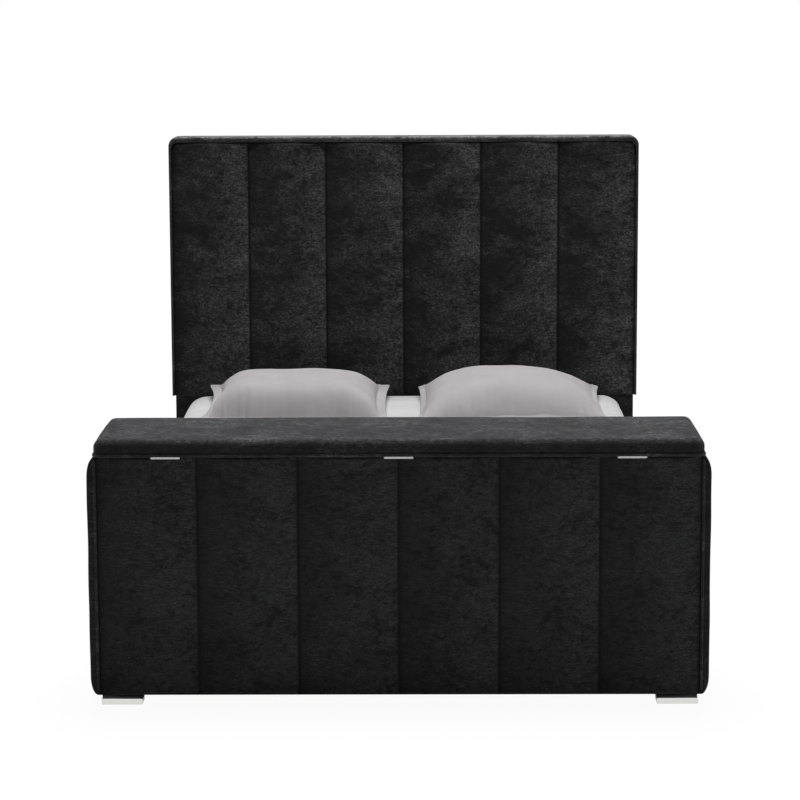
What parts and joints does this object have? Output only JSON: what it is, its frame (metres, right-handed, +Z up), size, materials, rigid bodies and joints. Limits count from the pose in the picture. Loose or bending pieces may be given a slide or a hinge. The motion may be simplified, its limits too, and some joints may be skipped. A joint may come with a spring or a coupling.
{
  "type": "tv bed",
  "caption": "Upholstered king-size bed with a channelled headboard and a foot-end box whose hinged lid opens over an electric television lift.",
  "frame": {"origin": "on the floor, under the middle of the bed's outline", "axes": "+Z up, +Y towards the headboard, -Y towards the foot-end television box, +X to the right as seen from the foot end"},
  "size_m": [1.6, 2.4808, 1.33],
  "materials": {
    "velvet": "black crushed velvet",
    "plywood": "raw board",
    "pine": "planed pine",
    "chrome": "polished chrome",
    "steel": "bright zinc-plated steel",
    "black_steel": "black powder coat",
    "silver_steel": "silver coated steel",
    "black_plastic": "fine-textured black",
    "cotton": "white cotton fitted sheet",
    "sateen": "silver-grey sateen"
  },
  "bodies": {
    "bed": {"centre_leg_1": "black_plastic", "centre_leg_2": "black_plastic", "centre_rail": "pine", "headboard_board": "plywood", "headboard_border": "velvet", "headboard_glide_left": "black_plastic", "headboard_glide_right": "black_plastic", "headboard_pad": "velvet", "hinge_1_box_leaf": "steel", "hinge_1_pin": "steel", "hinge_2_box_leaf": "steel", "hinge_2_pin": "steel", "hinge_3_box_leaf": "steel", "hinge_3_pin": "steel", "lift_actuator": "black_plastic", "lift_base_plate": "black_steel", "lift_control_unit": "black_plastic", "lift_outer_column": "black_steel", "mattress": "cotton", "pillow_left": "sateen", "pillow_right": "sateen", "side_rail_left": "plywood", "side_rail_pad_left": "velvet", "side_rail_pad_right": "velvet", "side_rail_right": "plywood", "slat_1": "pine", "slat_10": "pine", "slat_2": "pine", "slat_3": "pine", "slat_4": "pine", "slat_5": "pine", "slat_6": "pine", "slat_7": "pine", "slat_8": "pine", "slat_9": "pine", "slat_ledge_left": "pine", "slat_ledge_right": "pine", "tv_box_back_board": "velvet", "tv_box_floor_board": "plywood", "tv_box_foot_back_left": "chrome", "tv_box_foot_back_right": "chrome", "tv_box_foot_front_left": "chrome", "tv_box_foot_front_right": "chrome", "tv_box_front_board": "plywood", "tv_box_front_pad": "velvet", "tv_box_side_board_left": "plywood", "tv_box_side_board_right": "plywood", "tv_box_side_pad_left": "velvet", "tv_box_side_pad_right": "velvet"},
    "lid": {"lid_board": "plywood", "lid_pad": "velvet", "hinge_1_lid_leaf": "steel", "hinge_2_lid_leaf": "steel", "hinge_3_lid_leaf": "steel"},
    "lift_middle": {"lift_middle_column": "silver_steel", "lift_actuator_rod": "silver_steel"},
    "lift_inner": {"lift_inner_column": "silver_steel", "lift_head_bracket": "black_steel", "tv_arm_left": "black_steel", "tv_arm_right": "black_steel"}
  },
  "joints": [
    {"name": "lift_stage_1", "type": "slide", "parent": "bed", "child": "lift_middle", "axis": [0, 0, 1], "range_m": [0, 0.28]},
    {"name": "lift_stage_2", "type": "slide", "parent": "lift_middle", "child": "lift_inner", "axis": [0, 0, 1], "range_m": [0, 0.28]},
    {"name": "lid_hinge", "type": "hinge", "parent": "bed", "child": "lid", "pos_m": [0, -1.2369, 0.65015], "axis": [1, 0, 0], "range_deg": [0, 90]}
  ],
  "couplings": [
    {"joint": "lift_stage_2", "follows": "lift_stage_1", "ratio": 1},
    {"joint": "lid_hinge", "follows": "lift_stage_1", "rad_per_m": 5.6099}
  ]
}
